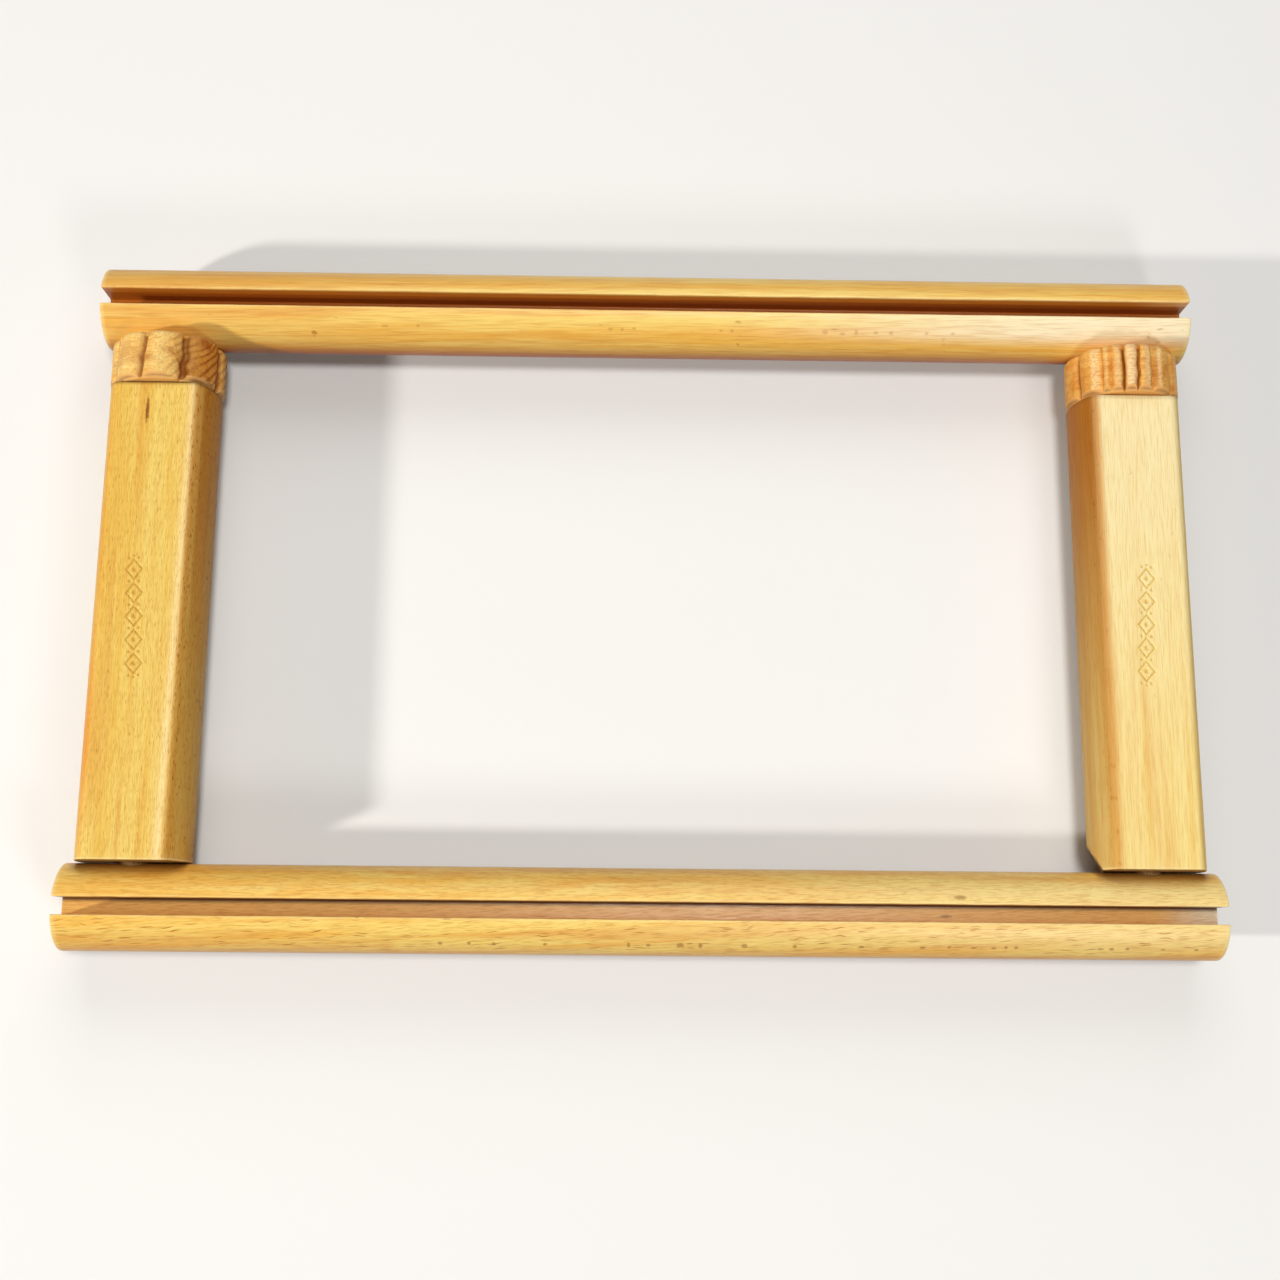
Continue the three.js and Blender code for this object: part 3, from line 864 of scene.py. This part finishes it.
# Depths of the cutter's flat facets round a knob, one of seven random rows, closed on itself.
def facetDepths(k, seed):
    rows = np.random.default_rng(5).uniform(0, k["facetDepth"], (7, k["facetCount"] + 1))
    return np.append(rows[seed % 7][:-1], rows[seed % 7][0])


# Radius of the knob's side: lobes that dip gently to their edges, with a narrow groove cut
# between each two. Every groove has its own place, lean, depth and width, and the lobes
# carry the flat facets of the cutter, unless they are left off.
def lobeRadius(k, angle, height, grooves, seed, faceted=1):
    degrees = np.degrees(angle) % 360
    step = height / k["height"] - 0.5
    dips = np.zeros(np.broadcast(degrees, height).shape)
    gaps = []
    for count, (place, lean, sway, depth, width) in enumerate(grooves):
        path = place + lean * step + sway * wander(height + 40 * count, 3.4, seed)
        gap = (degrees - path + 180) % 360 - 180
        dips = np.maximum(dips, depth * softBand(gap, 0, width))
        gaps.append(gap)
    gaps = np.array(gaps)
    before = np.where(gaps >= 0, gaps, gaps + 360).min(axis=0)
    after = np.where(gaps < 0, -gaps, 360 - gaps).min(axis=0)
    share = before / (before + after)
    arch = 4 * share * (1 - share)
    facet = np.interp(degrees, np.linspace(0, 360, k["facetCount"] + 1), facetDepths(k, seed) * faceted)
    across, along = k["chatter"]
    chatter = across * wander(height + 0.02 * degrees, 1.1, seed + 3) + along * wander(degrees / 3.0, 1.0, seed + 5)
    return k["crest"] - k["scallop"] * (1 - arch) ** 1.3 - dips - facet * (arch > 0.15) + chatter - k["inset"]


# The knob is one ring-shaped skin: out over the foot, up the chamfer, whose height follows the
# lobes, up the side, round the rim, in over the top and down the bore.
def makeKnob(name, side, grooves, seed):
    k = knobMake
    angle = fullTurn(k["columns"])[None]

    def lobes(height):
        return lobeRadius(k, angle, np.asarray(height, float), grooves, seed)

    def steps(count, first=0):
        return np.linspace(0, 1, count)[first:, None]

    foot, top, bore = k["crest"] - k["chamfer"], k["height"] - k["topRound"], k["bore"]
    atFoot = lobes([[0.0]])
    crease = np.clip(atFoot - foot, 0.03, k["chamfer"])
    footRadius = np.minimum(atFoot, foot)
    inner = bore + k["mouth"]
    sideHeight = crease + (top - crease) * steps(44, 1)
    turn = steps(9, 1) * np.pi / 2
    topHeight = top + k["topRound"] * np.sin(turn)
    rim = lobes(topHeight) - k["topRound"] * (1 - np.cos(turn))
    radius = rowsOf(
        k["columns"], inner + (footRadius - inner) * steps(8), footRadius + (lobes(crease) - footRadius) * steps(5, 1),
        lobes(sideHeight), rim, rim[-1:] + (inner - rim[-1:]) * steps(9, 1), [[bore]] * 7,
    )
    height = rowsOf(
        k["columns"], 0 * steps(8), crease * steps(5, 1), sideHeight, topHeight, [[k["height"]]] * 8,
        [[k["height"] - k["mouth"]]], np.linspace(15, 3, 5)[:, None], [[k["mouth"]]],
    )
    centre = centreOf(side, layout["knobFootY"])
    knob = skin(name, turnedGrid(angle, radius, height) + centre, "ring")
    x, y, z = pointsFrom(knob, centre).T
    around, out = np.arctan2(x, z), np.hypot(x, z)
    shallow = [(place, lean, sway, 0, width) for place, lean, sway, depth, width in grooves]
    crest = lobeRadius(k, around, y, shallow, seed, faceted=0)
    creaseAt = np.clip(k["chamfer"] - (k["crest"] - out), 0.03, k["chamfer"])
    # a painted highlight along the crease where the chamfer meets the lobes
    onCrease = softBand(y, creaseAt, 0.22) * (out > 17.5) * (y > 0.3) * 0.3
    grain = math.radians(k["grainWay"][side])
    facing = np.abs(x * math.sin(grain) + z * math.cos(grain)) / out
    turned, onSide = np.degrees(around), rise(out, 16.8, 18.8)
    keepMasks(
        # groove: painted shade in the grooves between the lobes
        knob, groove=rise(crest - out, 0.35, 1.2) * rise(y, 0.2, 1.0) * (1 - rise(y, 15.8, 16.6)),
        edge=np.maximum(rise(y, 16.6, 17.4) * rise(out, 17.5, 19.2) * 0.35, onCrease),
        # foot: the chamfer round the foot, darker and more orange as painted shade
        foot=(out > 9.5) & (y < k["chamfer"] - 0.01) & (out < foot + y + 0.02),
        endGrain=rise(facing, 0.8, 0.97) * rise(out, 17, 18.5),
        ringed=0.15 + 0.85 * rise(turned * (side < 0), 0, 44),
        # painted highlights on the lit ribs and lobes
        palePart=onSide * sum(
            share * rise(turned, first - 1, first + 2) * (1 - rise(turned, last - 2, last + 1))
            for first, last, share in k["palePlaces"][side]),
        stripes=onSide * (0.5 + 0.5 * wander(turned + 400, 3.2, seed + 8)),
    )
    smooth(knob, 50)
    crispRows(knob, [7, 11], k["columns"])
    return knob


# Each groove: its place, lean, sway, depth and width. Only the depth is in millimetres.
leftGrooves = [
    (-98, 0, 0.8, 1.2, 3.2), (-54, 2.0, 0.8, 1.2, 3.2), (-13.5, 4.0, 0.8, 1.2, 3.2), (32, 5.0, 2.0, 1.7, 4.0),
    (80, 1.0, 1.0, 1.8, 4.4), (124, 0, 1.0, 1.3, 3.6), (169, -1.5, 1.0, 1.2, 3.2), (214, 1.0, 1.0, 1.3, 3.4),
]
rightGrooves = [
    (-66, 0, 0.9, 0.9, 2.6), (-36, 0.4, 0.6, 0.4, 1.4), (-26.5, 0.4, 0.6, 0.35, 1.3), (-13.5, 0.6, 0.9, 1.3, 1.9),
    (2.5, 1.5, 1.0, 1.1, 1.9), (19, 0, 0.8, 0.6, 2.4), (46, 0, 0.8, 0.8, 2.6), (80, 0, 1.0, 1.0, 2.8),
    (116.5, 0, 1.0, 1.0, 2.8), (161.5, 1.0, 1.0, 1.0, 2.8), (206.5, 0, 1.0, 1.0, 2.8), (251.5, 0, 1.0, 1.0, 2.8),
]
knobCommon = dict(
    bands=(9, 160, 160), ringWidth=0.34,
    streaks=0.8, fleckLength=0.0018, fleckWidth=0.0006, fleckDepth=0.003, fleckShare=0.5, denseShare=0,
    fibreLength=0.004, fibreWidth=0.00055, fibreStrength=0.6,
    bareWood=(252, 218, 150), edgeStrength=0.7, relief=0.00012, roughness=0.5, shine=0.2,
)
leftKnobFinish = beechFinish("leftKnobBeech", dict(
    knobCommon, axes=woodAxes((0.84, 0, 0.545), (0.385, -0.707, -0.593)), shift=(0.2, 0.4, 0.1),
    pale=(254, 222, 138), golden=(244, 196, 106), ruddy=(180, 104, 34),
    # the paler places are painted highlights on the knob's ribs and lobes
    rings=0.9, ringGap=0.0024, ringMask=True, paler=[("palePart", (252, 220, 138), 0.5)],
    tints=[("endGrain", (220, 184, 140), 1.0)],
    fleckShare=0.3, fleckTint=(214, 160, 96), fleckStrength=0.5, fibreTint=(226, 180, 116),
    # the foot tone is painted shade on the chamfer
    # the groove tone is painted shade in the grooves
    darks=[("stripes", (214, 142, 58), 0.3), ("foot", (238, 178, 102), 0.8), ("groove", (140, 76, 20), 0.8)],
))
rightKnobFinish = beechFinish("rightKnobBeech", dict(
    knobCommon, axes=woodAxes((1, 0, 0.09), (0.1, 1, 0.25)), shift=(0.1, 0.2, 0.6),
    pale=(244, 197, 108), golden=(231, 167, 76), ruddy=(206, 130, 48),
    # the paler places are painted highlights on the knob's ribs and lobes
    rings=0.3, ringGap=0.0031, paler=[("palePart", (255, 230, 178), 0.85)],
    fleckTint=(228, 180, 118), fleckStrength=0.3, fibreTint=(222, 170, 106),
    darks=[
        ("endGrain", (210, 134, 54), 0.12), ("stripes", (216, 142, 60), 0.35),
        # the foot tone is painted shade on the chamfer
        # the groove tone is painted shade in the grooves
        ("foot", (236, 170, 92), 0.8), ("groove", (146, 80, 24), 0.85),
    ],
))
leftKnob = makeKnob("left_knob_turned", -1, leftGrooves, 11)
settle(leftKnob, "left_knob", "left_screw", leftKnobFinish)
rightKnob = makeKnob("right_knob_turned", 1, rightGrooves, 19)
settle(rightKnob, "right_knob", "right_screw", rightKnobFinish)

# Spindles and dowel pins, in millimetres
pinMake = dict(
    radius=5.0, chamfer=0.8, flutes=20, fluteDepth=0.14, footLength=26.8, pivotLength=23.8, pivotStart=5.0,
    footStart=4.5, neck=10.8,
)


# The spindle is one skin: out over its tip, up the thread and the plain shank, and down the
# hole in its top. The tip is drawn in on a slope and the thread fades into the shank.
def makeSpindle(name, side):
    t = threadMake
    angle = fullTurn(96)[None]
    climb = np.arange(-t["length"], 0.001, 0.3)[:, None]
    thread = threadRadius(t, angle, climb, knobTurns[side])
    slope = t["crest"] - t["depth"] - 0.6 + (climb + t["length"])
    thread = np.minimum(thread, slope)
    thread = np.where(climb > -2, np.maximum(thread, t["shank"]), thread)
    top, socket = t["shankTop"], t["socket"]
    shank = np.array([0.05, 4.0, 8.0, 12.0, 16.0, top - 0.4, top])[:, None]
    inside = np.array([top, top - 0.4, 14.0, 10.0, 6.0, 5.0, 4.7, 4.7])[:, None]
    radius = rowsOf(
        angle.size, [[3.0], [6.0]], thread, [[t["shank"]]] * 6, [[t["shank"] - 0.4]], [[socket + 0.4]],
        [[socket]] * 5, [[socket - 0.3], [2.5]],
    )
    height = rowsOf(angle.size, [[-t["length"]]] * 2, climb, shank, inside)
    centre = centreOf(side, layout["knobFootY"])
    spindle = skin(name, turnedGrid(angle, radius, height) + centre, "poles")
    x, y, z = pointsFrom(spindle, centre).T
    out = np.hypot(x, z)
    # root: painted shade in the thread's roots
    keepMasks(spindle, edge=rise(out, 9.5, 9.95) * (y < 0), root=rise(-out, -9.0, -8.3) * (y < -0.5) * (out > 6.5))
    smooth(spindle, 40)
    return spindle


# A dowel pin: its radius dips in narrow flutes along it, and both ends are chamfered.
def makePin(name, side, startY, length):
    p = pinMake
    angle = fullTurn(p["flutes"] * 6)[None]
    flute = p["fluteDepth"] * np.clip(np.cos(angle * p["flutes"]), 0, 1) ** 2
    body = np.linspace(p["chamfer"], length - p["chamfer"], 40)[:, None]
    height = np.concatenate([[[0.0], [0.0]], body, [[length], [length]]])
    drawn = np.concatenate([[[2.4], [p["chamfer"]]], 0 * body, [[p["chamfer"]], [2.4]]])
    centre = centreOf(side, startY)
    pin = skin(name, turnedGrid(angle, p["radius"] - drawn - flute, height + 0 * angle) + centre, "poles")
    y = pointsFrom(pin, centre)[:, 1]
    # neck: a dark band where the pin crosses the gap between the parts, painted shade
    keepMasks(pin, edge=1 - rise(np.minimum(y, length - y), 0.1, 1.0), neck=softBand(y, p["neck"], 2.0))
    smooth(pin, 30)
    return pin


turnedFinish = beechFinish("spindleBeech", dict(
    armCommon, axes=alongArm, shift=(0.6, 0.2, 0.3),
    pale=(242, 202, 122), golden=(230, 180, 98), ruddy=(206, 142, 66),
    fleckShare=0.3, fleckTint=(196, 150, 100), fleckStrength=0.6,
    fibreTint=(220, 184, 136), fibreStrength=0.5,
    # the root tone is painted shade in the thread's roots
    darks=[("root", (168, 112, 56), 0.6)], roughness=0.52,
))
dowelFinish = beechFinish("dowelBeech", dict(
    armCommon, axes=alongArm, shift=(0.9, 0.5, 0.7),
    pale=(242, 212, 140), golden=(230, 192, 114), ruddy=(208, 156, 82),
    fleckShare=0.3, fleckTint=(200, 160, 110), fleckStrength=0.6,
    fibreTint=(222, 190, 146), fibreStrength=0.5, roughness=0.6,
    # a painted shade band where the pin crosses the gap between the parts
    darks=[("neck", (96, 56, 22), 0.95)],
))
for side, word, body in ((-1, "left", "left_screw"), (1, "right", "right_screw")):
    spindle = makeSpindle(word + "_spindle_screw", side)
    settle(spindle, word + "_spindle", body, turnedFinish)
    pivot = makePin(word + "_pivot_dowel", side, layout["knobFootY"] + pinMake["pivotStart"], pinMake["pivotLength"])
    settle(pivot, word + "_pivot_pin", body, dowelFinish)
    foot = makePin(word + "_foot_dowel", side, pinMake["footStart"] - layout["railY"], pinMake["footLength"])
    settle(foot, word + "_foot_pin", "stand_side", dowelFinish)

# Floor and studio light. Each lamp: the point it lights, the way to it, how far, how wide, watts, colour
studio = dict(
    floor=(0.90, 0.895, 0.885, 1), glow=0.8, glowReach=(0.7, 2.4), bounce=(0.14, 0.135, 0.13, 1),
    sky=(1.0, 1.0, 1.0, 1), skyStrength=0.05, skySeen=0.84, reach=3.0,
    lamps=[
        ("leftLamp", (-0.177, 0.08, 0.02), (-1.0, -0.46, 0.56), 1.8, 0.12, 21.8, (1.0, 0.965, 0.9)),
        ("rightLamp", (0.177, 0.08, 0.02), (0.2, -0.85, 0.62), 1.3, 0.3, 3.2, (1.0, 0.99, 0.97)),
        ("topLamp", (0, 0, 0.02), (0.08, -0.05, 1.0), 1.6, 0.3, 11.2, (1.0, 0.99, 0.97)),
        ("backLamp", (0, 0, 0.02), (0.0, 0.8, 0.7), 1.6, 1.2, 8.0, (1.0, 0.99, 0.97)),
    ],
)


# 1 for the rays by which the eye sees the floor and the sky: straight, mirrored or through glass.
def seenByEye(tree):
    path = addNode(tree, "ShaderNodeLightPath").outputs
    seen = maths(tree, "MAXIMUM", path["Is Camera Ray"], path["Is Glossy Ray"])
    return maths(tree, "MAXIMUM", seen, path["Is Transmission Ray"])


# The floor is pale to the eye but throws little light back up at the frame.
# Far from the frame, where the lamps don't reach, it also glows to the eye alone.
def makeFloor(s):
    edge = np.linspace(-s["reach"], s["reach"], 5)
    x, y = np.meshgrid(edge, edge)
    index = np.arange(25).reshape(5, 5)
    quads = stacked(index[:-1, :-1], index[:-1, 1:], index[1:, 1:], index[1:, :-1])
    mesh = bpy.data.meshes.new("floor")
    mesh.from_pydata(stacked(x, y, 0).reshape(-1, 3).tolist(), [], quads.reshape(-1, 4).tolist())
    floor = bpy.data.objects.new("floor", mesh)
    scene.collection.objects.link(floor)
    material = bpy.data.materials.new("floorPaint")
    material.use_nodes = True
    tree = material.node_tree
    seen = seenByEye(tree)
    tone = blended(tree, seen, s["bounce"], s["floor"])
    place = addNode(tree, "ShaderNodeTexCoord").outputs["Object"]
    glow = product(tree, eased(tree, lengthOf(tree, place), *s["glowReach"], 0.0, s["glow"]), seen)
    shader = tree.nodes["Principled BSDF"]
    tree.links.new(tone, shader.inputs["Base Color"])
    tree.links.new(glow, shader.inputs["Emission Strength"])
    shader.inputs["Emission Color"].default_value = (1, 1, 1, 1)
    shader.inputs["Roughness"].default_value = 0.9
    mesh.materials.append(material)


# The sky lights the frame only a little, but looks pale to the eye. The lamps are round.
def lightStudio(s):
    world = bpy.data.worlds.new("studio")
    world.use_nodes = True
    scene.world = world
    tree = world.node_tree
    levels = {"Value": seenByEye(tree), "To Min": s["skyStrength"], "To Max": s["skySeen"]}
    strength = addNode(tree, "ShaderNodeMapRange", levels).outputs[0]
    tree.nodes["Background"].inputs["Color"].default_value = s["sky"]
    tree.links.new(strength, tree.nodes["Background"].inputs["Strength"])
    for name, target, way, distance, width, power, tint in s["lamps"]:
        data = bpy.data.lights.new(name, "AREA")
        data.shape, data.size, data.energy, data.color = "DISK", width, power, tint
        lamp = bpy.data.objects.new(name, data)
        way = np.array(way) / np.linalg.norm(way)
        lamp.location = (np.array(target) + way * distance).tolist()
        lamp.rotation_euler = (math.acos(way[2]), 0, math.atan2(way[0], -way[1]))
        scene.collection.objects.link(lamp)


makeFloor(studio)
lightStudio(studio)
print("floor and lamps ready")
